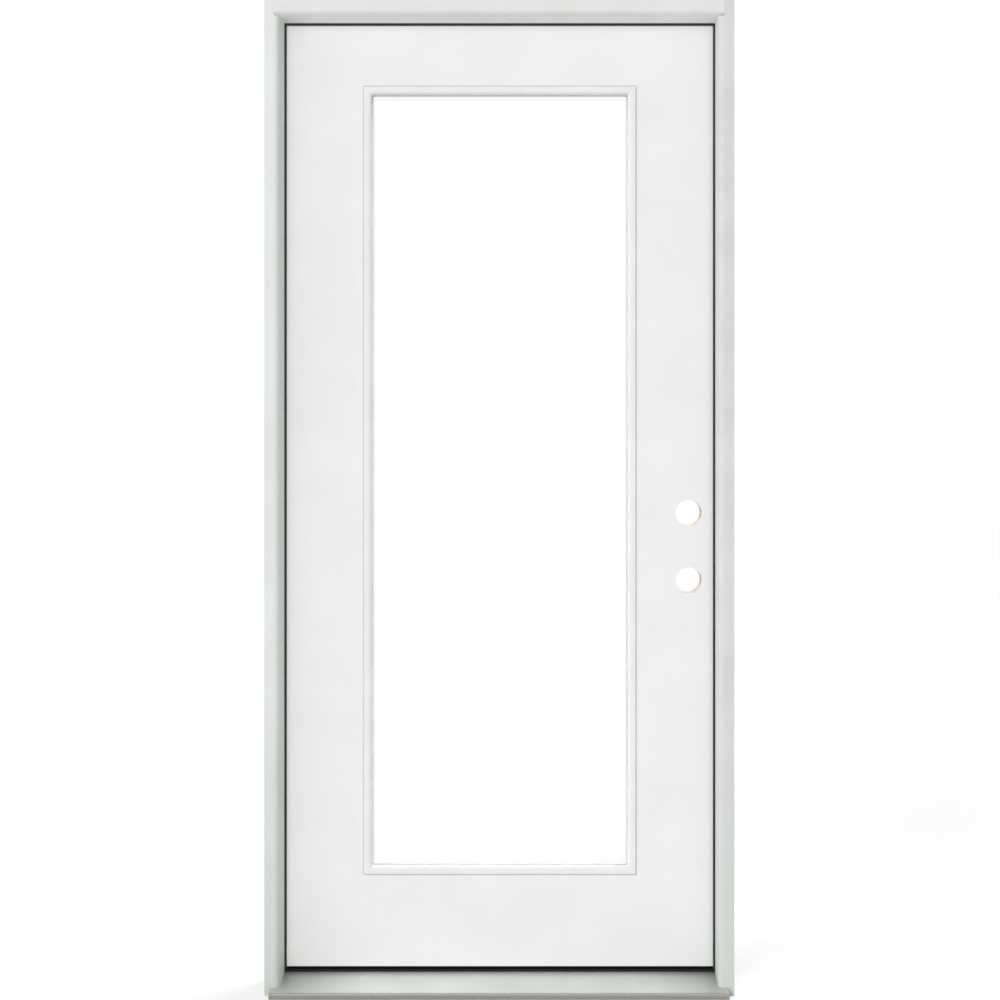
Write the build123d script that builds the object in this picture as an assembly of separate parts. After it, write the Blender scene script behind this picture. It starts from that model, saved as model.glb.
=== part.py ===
from build123d import *
import os
from math import radians, tan

# Prehung entrance door, left hand, opening inwards, one full glass, millimetres.
# X runs to the right as seen from outside, +Y into the building, +Z up.
# The origin is under the sill, halfway across the opening and halfway through the jambs.

# Slab
SLAB_WIDTH = 904.2
SLAB_HEIGHT = 1955.8
SLAB_THICK = 44.45
SLAB_LIFT = 38.0           # floor to the bottom of the slab
SKIN_THICK = 2.0
STILE_WIDTH = 25.4
TOP_RAIL_HEIGHT = 35.0
BOTTOM_RAIL_HEIGHT = 35.0
LATCH_BEVEL = 3.0          # degrees, the outside of the latch edge is narrower
EDGE_GAP = 5.1             # slab edge to rabbet, both sides and top

# Frame
JAMB_DEPTH = 115.9
LEG_THICK = 19.05          # jamb thickness behind the stop
STOP_THICK = 12.7          # how far the stop stands into the opening
SEAL_SPACE = 7.95          # back of the stop to the outside face of the slab
FRONT_EASE = 12.0          # rounded edge beside the opening, outside
CORNER_EASE = 1.2          # the other long edges
HEAD_END_EASE = 0.8        # taken off the head's front edge at each leg, a fine joint line
KERF_WIDTH = 3.0
KERF_DEPTH = 10.0
KERF_INSET = 1.6           # kerf to the rabbet face

# Sill
SILL_LET = 6.35            # how far the sill is let into each leg
SILL_NOSE = 27.0           # sill front beyond the front of the jambs
NOSE_HEIGHT = 13.0
DECK_RISE = 13.0           # the deck climbs this much to the cap
DECK_THICK = 2.0
LIP_HEIGHT = 6.0           # front lip of the deck, down over the base
NOSE_RADIUS = 2.4
CAP_TOP = 31.75
CAP_SETBACK = 1.0          # cap front behind the outside face of the slab
CAP_EASE = 2.0
GROOVE_COUNT = 4
GROOVE_PITCH = 30.0
GROOVE_WIDTH = 14.0
GROOVE_DEPTH = 5.0

# Seals
BULB_SHOWS = 4.2           # bulb beyond the inner face of the stop
BULB_HEEL = 0.6            # bulb to the rabbet face
BULB_ROUNDING = 0.45       # corner radius of the bulb over its thickness
SEAL_CLEAR = 0.3           # seal to the slab or to the next seal
STEM_THICK = 2.4
STEM_LENGTH = 8.0
PAD_THICK = 3.2
PAD_WIDTH = 32.0
PAD_HEIGHT = 50.0
SWEEP_PLATE = 2.5
SWEEP_END_GAP = 6.0
SWEEP_CLEAR = 0.5          # fin tips to the cap
FIN_COUNT = 4
FIN_PITCH = 9.5
FIN_THICK = 1.6
FIN_LEAN = 2.0

# Glass and its moulded frames
DAYLIGHT_WIDTH = 527.0
LITE_BELOW_TOP = 154.0     # top of the slab to the top of the daylight
LITE_ABOVE_FOOT = 207.8    # bottom of the slab to the bottom of the daylight
MOULDING_WIDTH = 19.5      # daylight edge to the edge of the cut-out
GLASS_COVER = 15.9         # glass hidden behind the moulding
GLASS_GAP = 0.3            # glass edge to the web of the moulding
PANE_THICK = 3.2
PANE_SPACE = 19.0
SPACER_WIDTH = 10.0
CROWN_PROUD = 2.5          # moulding above the skin
CROWN_RADIUS = 1.6         # outer edge of the crown
SHOULDER_RADIUS = 8.0      # the crown rounds over towards the glass, outside
INSIDE_SHOULDER = 4.0      # the same round on the inside frame
INSIDE_SETBACK = 5.5       # the inside frame stays this much clear of the sight lines
WALL_DRAFT = 1.0           # the wall below the round leans this much
LINE_WIDTH = 1.9           # fine groove between the crown and the skin
LINE_DEPTH = 1.5

# Lock preparation
LOCK_BLOCK_HEIGHT = 380.0
BORE_DIAMETER = 53.975
BACKSET = 60.325
LOCKSET_HEIGHT = 798.0     # above the bottom of the slab
BORE_SPACING = 139.7
EDGE_BORE_DIAMETER = 25.4
FACEPLATE_HEIGHT = 57.15
FACEPLATE_WIDTH = 25.4
FACEPLATE_DEPTH = 3.2
FACEPLATE_RADIUS = 6.35
STRIKE_HEIGHT = 57.15
STRIKE_WIDTH = 28.6
STRIKE_DEPTH = 2.0
STRIKE_RADIUS = 6.35
POCKET_HEIGHT = 44.0
POCKET_WIDTH = 20.0
POCKET_DEPTH = 14.0

# Hinges
HINGE_HEIGHT = 101.6
LEAF_THICK = 2.5
LEAF_SEAT = 38.1           # leaf width let into the slab and the jamb
LEAF_RADIUS = 15.9
BARREL_RADIUS = 6.35
PIN_RADIUS = 3.4
PIN_CLEAR = 0.05
PIN_STANDOFF = 12.7        # pin axis beyond the inside face of the slab
KNUCKLE_COUNT = 5
KNUCKLE_GAP = 0.4
NOTCH_CLEAR = 1.0          # leaf to the other leaf's knuckles
PIN_HEAD = 3.0
PIN_HEAD_BEVEL = 1.3       # taken off the rim of the button
TOP_HINGE_SETBACK = 178.0  # top of the slab to the top of the hinge
BOTTOM_HINGE_SETBACK = 279.0

# Lines that the pieces share
FRONT_Y = -JAMB_DEPTH / 2
BACK_Y = JAMB_DEPTH / 2
SLAB_FRONT_Y = BACK_Y - SLAB_THICK
CORE_FRONT_Y = SLAB_FRONT_Y + SKIN_THICK
CORE_BACK_Y = BACK_Y - SKIN_THICK
SLAB_MID_Y = BACK_Y - SLAB_THICK / 2
STOP_BACK_Y = SLAB_FRONT_Y - SEAL_SPACE

HALF_SLAB = SLAB_WIDTH / 2
RABBET_X = HALF_SLAB + EDGE_GAP
FRAME_X = RABBET_X + LEG_THICK
STOP_X = RABBET_X - STOP_THICK
SILL_X = RABBET_X + SILL_LET
STILE_X = HALF_SLAB - STILE_WIDTH

SLAB_TOP = SLAB_LIFT + SLAB_HEIGHT
RABBET_TOP = SLAB_TOP + EDGE_GAP
STOP_TOP = RABBET_TOP - STOP_THICK
FRAME_TOP = RABBET_TOP + LEG_THICK

GLASS_DEPTH = (SLAB_THICK - 2 * PANE_THICK - PANE_SPACE) / 2
CUT_X = DAYLIGHT_WIDTH / 2 + MOULDING_WIDTH
DAYLIGHT_TOP = SLAB_TOP - LITE_BELOW_TOP
DAYLIGHT_BOTTOM = SLAB_LIFT + LITE_ABOVE_FOOT
DAYLIGHT_HEIGHT = DAYLIGHT_TOP - DAYLIGHT_BOTTOM
DAYLIGHT_MID = (DAYLIGHT_TOP + DAYLIGHT_BOTTOM) / 2
CUT_TOP = DAYLIGHT_TOP + MOULDING_WIDTH
CUT_BOTTOM = DAYLIGHT_BOTTOM - MOULDING_WIDTH
RAIL_TOP_Z = SLAB_TOP - TOP_RAIL_HEIGHT
RAIL_BOTTOM_Z = SLAB_LIFT + BOTTOM_RAIL_HEIGHT

NOSE_Y = FRONT_Y - SILL_NOSE
CAP_Y = SLAB_FRONT_Y + CAP_SETBACK
DECK_BACK_Y = CAP_Y - DECK_THICK
DECK_BACK_Z = NOSE_HEIGHT + DECK_RISE
DECK_SLOPE = DECK_RISE / (DECK_BACK_Y - NOSE_Y)
CAP_SEAT_Z = DECK_BACK_Z + DECK_SLOPE * DECK_THICK - DECK_THICK
BASE_FRONT_Y = NOSE_Y + DECK_THICK
BASE_FRONT_Z = NOSE_HEIGHT + DECK_SLOPE * DECK_THICK - DECK_THICK

LATCH_SLOPE = tan(radians(LATCH_BEVEL))
EDGE_MID_X = HALF_SLAB - LATCH_SLOPE * SLAB_THICK / 2
BORE_X = EDGE_MID_X - BACKSET
LOCKSET_Z = SLAB_LIFT + LOCKSET_HEIGHT
DEADBOLT_Z = LOCKSET_Z + BORE_SPACING
LOCK_MID_Z = (LOCKSET_Z + DEADBOLT_Z) / 2
LOCK_BLOCK_TOP = LOCK_MID_Z + LOCK_BLOCK_HEIGHT / 2
LOCK_BLOCK_BOTTOM = LOCK_MID_Z - LOCK_BLOCK_HEIGHT / 2

PIN_X = -(HALF_SLAB + EDGE_GAP / 2)
PIN_Y = BACK_Y + PIN_STANDOFF
TOP_HINGE_Z = SLAB_TOP - TOP_HINGE_SETBACK - HINGE_HEIGHT / 2
BOTTOM_HINGE_Z = SLAB_LIFT + BOTTOM_HINGE_SETBACK + HINGE_HEIGHT / 2
HINGE_PLACES = {
    "top": TOP_HINGE_Z,
    "middle": (TOP_HINGE_Z + BOTTOM_HINGE_Z) / 2,
    "bottom": BOTTOM_HINGE_Z,
}
KNUCKLE_LENGTH = (HINGE_HEIGHT - (KNUCKLE_COUNT - 1) * KNUCKLE_GAP) / KNUCKLE_COUNT


def block(x, y, z):
    """A rectangular solid between pairs of coordinates."""
    spans = (x, y, z)
    size = [abs(b - a) for a, b in spans]
    middle = [(a + b) / 2 for a, b in spans]
    return Pos(*middle) * Box(*size)


def section(points):
    """A flat face inside (a, b) or (a, b, corner radius) points."""
    corners = [point[:2] for point in points]
    radii = [point[2] if len(point) > 2 else 0 for point in points]
    return make_face(FilletPolyline(*corners, radius=radii, close=True))


def prism(points, plane, start, end):
    """A section drawn on a plane and drawn out square to it, from start to end."""
    return extrude(plane.offset(start) * section(points), amount=end - start)


def save(name, solid):
    export_step(solid, f"parts/{name}.step")


# Frame of the door

def kerf_span():
    """Distances of the two walls of the kerf from the rabbet face."""
    return KERF_INSET, KERF_INSET + KERF_WIDTH


def side_jamb():
    """The strike jamb's timber, at +X, before its strikes are let in."""
    near, far = kerf_span()
    leg = prism(
        [
            (FRAME_X, FRONT_Y, CORNER_EASE),
            (FRAME_X, BACK_Y, CORNER_EASE),
            (RABBET_X, BACK_Y, CORNER_EASE),
            (RABBET_X, FRONT_Y),
        ],
        Plane.XY, 0, FRAME_TOP,
    )
    stop = prism(
        [
            (RABBET_X, FRONT_Y),
            (RABBET_X, STOP_BACK_Y),
            (RABBET_X - near, STOP_BACK_Y),
            (RABBET_X - near, STOP_BACK_Y - KERF_DEPTH),
            (RABBET_X - far, STOP_BACK_Y - KERF_DEPTH),
            (RABBET_X - far, STOP_BACK_Y),
            (STOP_X, STOP_BACK_Y, CORNER_EASE),
            (STOP_X, FRONT_Y, FRONT_EASE),
        ],
        Plane.XY, 0, STOP_TOP,
    )
    return leg + stop - sill_envelope()


def sill_envelope():
    """The closed outline of the sill and its cap, which the jambs are cut over."""
    past_back = BACK_Y + LEG_THICK
    return prism(
        [
            (NOSE_Y, 0),
            (NOSE_Y, NOSE_HEIGHT),
            (DECK_BACK_Y, DECK_BACK_Z),
            (CAP_Y, DECK_BACK_Z),
            (CAP_Y, CAP_TOP),
            (past_back, CAP_TOP),
            (past_back, 0),
        ],
        Plane.YZ, -SILL_X, SILL_X,
    )


def strike_recess(z):
    """A shallow seat for a strike, with an obround pocket for the bolt behind it."""
    seat_plane = Plane(origin=(RABBET_X, SLAB_MID_Y, z), x_dir=(0, 1, 0), z_dir=(1, 0, 0))
    seat = extrude(seat_plane * RectangleRounded(STRIKE_WIDTH, STRIKE_HEIGHT, STRIKE_RADIUS),
                   amount=STRIKE_DEPTH)
    pocket = extrude(seat_plane * SlotOverall(POCKET_HEIGHT, POCKET_WIDTH, rotation=90),
                     amount=POCKET_DEPTH)
    return seat + pocket


def strike_jamb():
    jamb = side_jamb()
    for z in (LOCKSET_Z, DEADBOLT_Z):
        jamb -= strike_recess(z)
    return jamb


def hinge_jamb():
    jamb = mirror(side_jamb(), about=Plane.YZ)
    for z in HINGE_PLACES.values():
        jamb -= leaf_plate(-1, z, BACK_Y)
    return jamb


def head_jamb():
    """The head lies between the legs and over the side stops."""
    near, far = kerf_span()
    head = prism(
        [
            (FRONT_Y, FRAME_TOP, CORNER_EASE),
            (FRONT_Y, STOP_TOP, FRONT_EASE),
            (STOP_BACK_Y, STOP_TOP, CORNER_EASE),
            (STOP_BACK_Y, RABBET_TOP - far),
            (STOP_BACK_Y - KERF_DEPTH, RABBET_TOP - far),
            (STOP_BACK_Y - KERF_DEPTH, RABBET_TOP - near),
            (STOP_BACK_Y, RABBET_TOP - near),
            (STOP_BACK_Y, RABBET_TOP),
            (BACK_Y, RABBET_TOP, CORNER_EASE),
            (BACK_Y, FRAME_TOP, CORNER_EASE),
        ],
        Plane.YZ, -RABBET_X, RABBET_X,
    )
    joint = prism(
        [
            (RABBET_X, FRONT_Y),
            (RABBET_X, FRONT_Y + HEAD_END_EASE),
            (RABBET_X - HEAD_END_EASE, FRONT_Y),
        ],
        Plane.XY, STOP_TOP, FRAME_TOP,
    )
    return head - joint - mirror(joint, about=Plane.YZ)


# Sill

def sill_base():
    base = prism(
        [
            (BASE_FRONT_Y, 0),
            (BASE_FRONT_Y, BASE_FRONT_Z),
            (CAP_Y, CAP_SEAT_Z),
            (BACK_Y, CAP_SEAT_Z),
            (BACK_Y, 0),
        ],
        Plane.YZ, -SILL_X, SILL_X,
    )
    for i in range(GROOVE_COUNT):
        y = (i - (GROOVE_COUNT - 1) / 2) * GROOVE_PITCH
        base -= block(
            (-SILL_X, SILL_X),
            (y - GROOVE_WIDTH / 2, y + GROOVE_WIDTH / 2),
            (0, GROOVE_DEPTH),
        )
    return base


def sill_deck():
    lip_z = NOSE_HEIGHT - LIP_HEIGHT
    return prism(
        [
            (NOSE_Y, lip_z),
            (NOSE_Y, NOSE_HEIGHT, NOSE_RADIUS),
            (DECK_BACK_Y, DECK_BACK_Z),
            (CAP_Y, DECK_BACK_Z),
            (CAP_Y, CAP_SEAT_Z),
            (BASE_FRONT_Y, BASE_FRONT_Z),
            (BASE_FRONT_Y, lip_z),
        ],
        Plane.YZ, -SILL_X, SILL_X,
    )


def sill_cap():
    return prism(
        [
            (CAP_Y, CAP_SEAT_Z),
            (CAP_Y, CAP_TOP, CAP_EASE / 2),
            (BACK_Y, CAP_TOP, CAP_EASE),
            (BACK_Y, CAP_SEAT_Z),
        ],
        Plane.YZ, -SILL_X, SILL_X,
    )


# Seals

def seal_section():
    """(distance in from the rabbet, y, radius) round the stem and the bulb."""
    face_y = SLAB_FRONT_Y - SEAL_CLEAR
    bulb_radius = (face_y - STOP_BACK_Y) * BULB_ROUNDING
    tip = STOP_THICK + BULB_SHOWS
    kerf_middle = KERF_INSET + KERF_WIDTH / 2
    stem_near = kerf_middle - STEM_THICK / 2
    stem_far = kerf_middle + STEM_THICK / 2
    return [
        (BULB_HEEL, STOP_BACK_Y, 0),
        (stem_near, STOP_BACK_Y, 0),
        (stem_near, STOP_BACK_Y - STEM_LENGTH, 0),
        (stem_far, STOP_BACK_Y - STEM_LENGTH, 0),
        (stem_far, STOP_BACK_Y, 0),
        (tip, STOP_BACK_Y, bulb_radius),
        (tip, face_y, bulb_radius),
        (BULB_HEEL, face_y, bulb_radius / 2),
    ]


def side_weatherstrip():
    """The strike side's seal; its top stops under the head's bulb."""
    top = STOP_TOP - BULB_SHOWS - SEAL_CLEAR
    return prism([(RABBET_X - a, y, r) for a, y, r in seal_section()], Plane.XY, CAP_TOP, top)


def head_weatherstrip():
    end = RABBET_X - BULB_HEEL
    return prism([(y, RABBET_TOP - a, r) for a, y, r in seal_section()], Plane.YZ, -end, end)


def corner_pad():
    """A small pad at the foot of the strike side's rabbet, behind the edge of the slab."""
    return block(
        (RABBET_X - PAD_THICK, RABBET_X),
        (SLAB_MID_Y - PAD_WIDTH / 2, SLAB_MID_Y + PAD_WIDTH / 2),
        (CAP_TOP, CAP_TOP + PAD_HEIGHT),
    )


def door_sweep():
    half = HALF_SLAB - SWEEP_END_GAP
    plate_z = SLAB_LIFT - SWEEP_PLATE
    tip_z = CAP_TOP + SWEEP_CLEAR
    sweep_seal = block((-half, half), (CORE_FRONT_Y, CORE_BACK_Y), (plate_z, SLAB_LIFT))
    for i in range(FIN_COUNT):
        y = SLAB_MID_Y + (i - (FIN_COUNT - 1) / 2) * FIN_PITCH
        sweep_seal += prism(
            [
                (y - FIN_THICK / 2, plate_z + SWEEP_PLATE / 2),
                (y + FIN_THICK / 2, plate_z + SWEEP_PLATE / 2),
                (y + FIN_THICK / 2 + FIN_LEAN, tip_z),
                (y - FIN_THICK / 2 + FIN_LEAN, tip_z),
            ],
            Plane.YZ, -half, half,
        )
    return sweep_seal


# Slab

def latch_bevel():
    """What the bevel takes off the latch edge."""
    past = EDGE_GAP + LEG_THICK
    return prism(
        [
            (HALF_SLAB, BACK_Y),
            (HALF_SLAB - LATCH_SLOPE * SLAB_THICK, SLAB_FRONT_Y),
            (HALF_SLAB + past, SLAB_FRONT_Y),
            (HALF_SLAB + past, BACK_Y),
        ],
        Plane.XY, SLAB_LIFT, SLAB_TOP,
    )


def lock_bores():
    """The two bores through the slab's faces."""
    bores = Part()
    for z in (LOCKSET_Z, DEADBOLT_Z):
        bores += Pos(BORE_X, SLAB_MID_Y, z) * Rot(90, 0, 0) * Cylinder(BORE_DIAMETER / 2, SLAB_THICK)
    return bores


def edge_bores():
    """The two bores for the bolts, from the latch edge into the large bores."""
    length = HALF_SLAB - BORE_X
    bores = Part()
    for z in (LOCKSET_Z, DEADBOLT_Z):
        bores += (Pos(BORE_X + length / 2, SLAB_MID_Y, z) * Rot(0, 90, 0)
                  * Cylinder(EDGE_BORE_DIAMETER / 2, length))
    return bores


def faceplate_mortises():
    mortises = Part()
    for z in (LOCKSET_Z, DEADBOLT_Z):
        seat_plane = Plane(origin=(EDGE_MID_X, SLAB_MID_Y, z), x_dir=(0, 1, 0), z_dir=(-1, 0, 0))
        seat_plane = seat_plane.rotated((LATCH_BEVEL, 0, 0))
        outline = RectangleRounded(FACEPLATE_WIDTH, FACEPLATE_HEIGHT, FACEPLATE_RADIUS)
        mortises += extrude(seat_plane * outline, amount=FACEPLATE_DEPTH, both=True)
    return mortises


def skin(y_near, y_far):
    """One moulded skin, with the cut-out for the glass and the bores for the lock."""
    sheet = block((-HALF_SLAB, HALF_SLAB), (y_near, y_far), (SLAB_LIFT, SLAB_TOP))
    sheet -= block((-CUT_X, CUT_X), (y_near, y_far), (CUT_BOTTOM, CUT_TOP))
    return sheet - lock_bores() - latch_bevel()


def interior_skin():
    sheet = skin(CORE_BACK_Y, BACK_Y)
    for z in HINGE_PLACES.values():
        sheet -= leaf_plate(1, z, BACK_Y)
    return sheet


def hinge_stile():
    stile = block((-HALF_SLAB, -STILE_X), (CORE_FRONT_Y, CORE_BACK_Y), (SLAB_LIFT, SLAB_TOP))
    for z in HINGE_PLACES.values():
        stile -= leaf_plate(1, z, BACK_Y)
    return stile


def latch_stile():
    stile = block((STILE_X, HALF_SLAB), (CORE_FRONT_Y, CORE_BACK_Y), (SLAB_LIFT, SLAB_TOP))
    return stile - latch_bevel() - edge_bores() - faceplate_mortises()


def core(x, z):
    return block(x, (CORE_FRONT_Y, CORE_BACK_Y), z)


def lock_block():
    solid = core((CUT_X, STILE_X), (LOCK_BLOCK_BOTTOM, LOCK_BLOCK_TOP))
    return solid - lock_bores() - edge_bores()


def latch_side_core():
    """Two blocks of foam, above and below the lock block."""
    lower = core((CUT_X, STILE_X), (RAIL_BOTTOM_Z, LOCK_BLOCK_BOTTOM))
    upper = core((CUT_X, STILE_X), (LOCK_BLOCK_TOP, RAIL_TOP_Z))
    return Compound(children=[lower, upper])


# Glass

def lite_ring(outer, inner, y_near, y_far):
    """A rectangular ring round the daylight, from outer to inner beyond its edge."""
    ring = Pos(0, (y_near + y_far) / 2, DAYLIGHT_MID) * Box(
        DAYLIGHT_WIDTH + 2 * outer, y_far - y_near, DAYLIGHT_HEIGHT + 2 * outer)
    hole = Pos(0, (y_near + y_far) / 2, DAYLIGHT_MID) * Box(
        DAYLIGHT_WIDTH + 2 * inner, y_far - y_near, DAYLIGHT_HEIGHT + 2 * inner)
    return ring - hole


def pane(y_near):
    cover = GLASS_COVER
    return Pos(0, y_near + PANE_THICK / 2, DAYLIGHT_MID) * Box(
        DAYLIGHT_WIDTH + 2 * cover, PANE_THICK, DAYLIGHT_HEIGHT + 2 * cover)


def pane_spacer():
    y_near = SLAB_FRONT_Y + GLASS_DEPTH + PANE_THICK
    return lite_ring(GLASS_COVER, GLASS_COVER - SPACER_WIDTH, y_near, y_near + PANE_SPACE)


def glazing_frame(setback, shoulder):
    """A moulding on the outside: its section goes round the glass with mitred corners.

    The section is drawn across the left side, u beyond the daylight edge and d into the
    slab. The web between the glass and the cut-out reaches the middle of the slab. The
    setback keeps the inner edge that far outside the daylight, and shoulder is the radius
    where the crown turns down to the glass.
    """
    web = GLASS_COVER + GLASS_GAP
    middle = SLAB_THICK / 2
    crown_end = MOULDING_WIDTH - LINE_WIDTH
    moulding = [
        (setback, GLASS_DEPTH),
        (web, GLASS_DEPTH),
        (web, middle),
        (MOULDING_WIDTH, middle),
        (MOULDING_WIDTH, LINE_DEPTH),
        (crown_end, LINE_DEPTH),
        (crown_end, -CROWN_PROUD, CROWN_RADIUS),
        (setback + WALL_DRAFT, -CROWN_PROUD, shoulder),
    ]
    left = -DAYLIGHT_WIDTH / 2
    drawn = [(left - u, SLAB_FRONT_Y + d, *radius) for u, d, *radius in moulding]
    face = Plane.XY.offset(DAYLIGHT_MID) * section(drawn)
    path_plane = Plane(origin=(0, SLAB_FRONT_Y, DAYLIGHT_MID), x_dir=(1, 0, 0), z_dir=(0, -1, 0))
    half_w = DAYLIGHT_WIDTH / 2
    half_h = DAYLIGHT_HEIGHT / 2
    route = path_plane * Polyline(
        (-half_w, 0), (-half_w, half_h), (half_w, half_h), (half_w, -half_h), (-half_w, -half_h),
        (-half_w, 0),
    )
    return sweep(face, path=route, transition=Transition.RIGHT)


# Hinges

def leaf_plate(side, z, y_end):
    """A leaf's flat plate, from its rounded free edge to y_end; side is -1 on the jamb."""
    inner = PIN_X + side * EDGE_GAP / 2
    outer = inner + side * LEAF_THICK
    free_y = BACK_Y - LEAF_SEAT
    return prism(
        [
            (free_y, z - HINGE_HEIGHT / 2, LEAF_RADIUS),
            (free_y, z + HINGE_HEIGHT / 2, LEAF_RADIUS),
            (y_end, z + HINGE_HEIGHT / 2),
            (y_end, z - HINGE_HEIGHT / 2),
        ],
        Plane.YZ, min(inner, outer), max(inner, outer),
    )


def knuckle_start(index, z):
    """The lower end of one knuckle, counted from the bottom."""
    return z - HINGE_HEIGHT / 2 + index * (KNUCKLE_LENGTH + KNUCKLE_GAP)


def pin_cylinder(radius, start, length):
    return Pos(PIN_X, PIN_Y, start + length / 2) * Cylinder(radius, length)


def hinge_leaf(side, z):
    """One leaf with its knuckles rolled round the pin."""
    own = 0 if side < 0 else 1
    leaf = leaf_plate(side, z, PIN_Y)
    for index in range(KNUCKLE_COUNT):
        start = knuckle_start(index, z)
        if index % 2 == own:
            leaf += pin_cylinder(BARREL_RADIUS, start, KNUCKLE_LENGTH)
        else:
            reach = BARREL_RADIUS + NOTCH_CLEAR
            leaf -= block(
                (PIN_X - reach, PIN_X + reach),
                (PIN_Y - reach, PIN_Y + reach),
                (start - KNUCKLE_GAP, start + KNUCKLE_LENGTH + KNUCKLE_GAP),
            )
    bore_length = HINGE_HEIGHT + 2 * PIN_HEAD
    return leaf - pin_cylinder(PIN_RADIUS + PIN_CLEAR, z - bore_length / 2, bore_length)


def hinge_pin(z):
    """A loose pin with a bevelled button on top, turned about its axis."""
    half = HINGE_HEIGHT / 2
    rim = half + PIN_HEAD - PIN_HEAD_BEVEL
    end = half + PIN_HEAD
    outline = [
        (0, -half),
        (PIN_RADIUS, -half),
        (PIN_RADIUS, half),
        (BARREL_RADIUS, half),
        (BARREL_RADIUS, rim),
        (BARREL_RADIUS - PIN_HEAD_BEVEL, end),
        (0, end),
    ]
    return Pos(PIN_X, PIN_Y, z) * revolve(Plane.XZ * section(outline), axis=Axis.Z)


def model():
    """Every node of the door, by name."""
    strip = side_weatherstrip()
    pad = corner_pad()
    middle_plane = Plane.XZ.offset(-SLAB_MID_Y)
    inside_moulding = mirror(glazing_frame(INSIDE_SETBACK, INSIDE_SHOULDER), about=middle_plane)
    exterior_glass_y = SLAB_FRONT_Y + GLASS_DEPTH
    interior_glass_y = exterior_glass_y + PANE_THICK + PANE_SPACE
    nodes = {
        "hinge_jamb": hinge_jamb(),
        "strike_jamb": strike_jamb(),
        "head_jamb": head_jamb(),
        "sill_base": sill_base(),
        "sill_deck": sill_deck(),
        "sill_cap": sill_cap(),
        "hinge_side_weatherstrip": mirror(strip, about=Plane.YZ),
        "strike_side_weatherstrip": strip,
        "head_weatherstrip": head_weatherstrip(),
        "hinge_side_corner_pad": mirror(pad, about=Plane.YZ),
        "strike_side_corner_pad": pad,
        "exterior_skin": skin(SLAB_FRONT_Y, CORE_FRONT_Y),
        "interior_skin": interior_skin(),
        "hinge_stile": hinge_stile(),
        "latch_stile": latch_stile(),
        "top_rail": core((-STILE_X, STILE_X), (RAIL_TOP_Z, SLAB_TOP)),
        "bottom_rail": core((-STILE_X, STILE_X), (SLAB_LIFT, RAIL_BOTTOM_Z)),
        "hinge_side_core": core((-STILE_X, -CUT_X), (RAIL_BOTTOM_Z, RAIL_TOP_Z)),
        "latch_side_core": latch_side_core(),
        "upper_core": core((-CUT_X, CUT_X), (CUT_TOP, RAIL_TOP_Z)),
        "lower_core": core((-CUT_X, CUT_X), (RAIL_BOTTOM_Z, CUT_BOTTOM)),
        "lock_block": lock_block(),
        "exterior_glazing_frame": glazing_frame(0, SHOULDER_RADIUS),
        "interior_glazing_frame": inside_moulding,
        "exterior_pane": pane(exterior_glass_y),
        "interior_pane": pane(interior_glass_y),
        "pane_spacer": pane_spacer(),
        "door_sweep": door_sweep(),
    }
    for place, z in HINGE_PLACES.items():
        nodes[f"{place}_hinge_jamb_leaf"] = hinge_leaf(-1, z)
        nodes[f"{place}_hinge_door_leaf"] = hinge_leaf(1, z)
        nodes[f"{place}_hinge_pin"] = hinge_pin(z)
    return nodes


os.makedirs("parts", exist_ok=True)
for node, solid in model().items():
    save(node, solid)
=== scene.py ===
# %% [markdown]
# A prehung entrance door of moulded fibreglass.
# A door like this leaves the works as one unit: a white slab with a tall clear glass, hung on
# three hinges in a timber frame, over an aluminium sill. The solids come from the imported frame
# at their real size, so this file never moves or reshapes them. It gives each one its finish,
# adds the small things that a solid model leaves out, and lights the whole as a product
# picture on white.

import math

import bmesh
import bpy
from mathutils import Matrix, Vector


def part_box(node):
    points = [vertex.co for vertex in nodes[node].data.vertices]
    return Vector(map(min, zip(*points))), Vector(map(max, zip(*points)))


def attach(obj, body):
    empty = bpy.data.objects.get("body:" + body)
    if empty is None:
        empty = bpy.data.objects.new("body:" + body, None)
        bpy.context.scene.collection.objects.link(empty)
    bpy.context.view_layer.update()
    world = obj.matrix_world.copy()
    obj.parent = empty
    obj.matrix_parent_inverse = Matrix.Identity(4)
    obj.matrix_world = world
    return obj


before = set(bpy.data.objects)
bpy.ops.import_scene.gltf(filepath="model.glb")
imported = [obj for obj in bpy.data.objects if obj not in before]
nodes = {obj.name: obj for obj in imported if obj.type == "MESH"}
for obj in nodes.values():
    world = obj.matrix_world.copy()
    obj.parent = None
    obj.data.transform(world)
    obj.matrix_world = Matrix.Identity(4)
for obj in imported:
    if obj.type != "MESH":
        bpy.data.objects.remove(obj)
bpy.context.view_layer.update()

# %% [markdown]
# Every place below is read from the solids, so that a screw stays in its leaf and a bead
# stays on its glass when a size changes. Y runs into the building, and the slab's outside
# face looks along -Y.

# %% Measure the solids
MM = 0.001
skin_low, skin_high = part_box("exterior_skin")
inside_low, inside_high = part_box("interior_skin")
moulding_low, moulding_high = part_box("interior_glazing_frame")
pane_low, pane_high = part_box("exterior_pane")
PLACES = ("top", "middle", "bottom")
print("slab", [round(v, 4) for v in inside_high - inside_low])
print("glass", [round(v, 4) for v in pane_high - pane_low])

# %% [markdown]
# The camera stands square to the door a little over three metres away, as a picture for a
# catalogue is taken. A small shift keeps the jambs upright while the door sits a little off
# the lens's axis, which is why the right reveal looks narrower than the left one.

# %% Camera
CAMERA_AT = (0.066, -3.400, 1.110)
CAMERA_LENS = 59.4
CAMERA_SENSOR = 36
CAMERA_SHIFT = (-0.0318, -0.0521)

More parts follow.
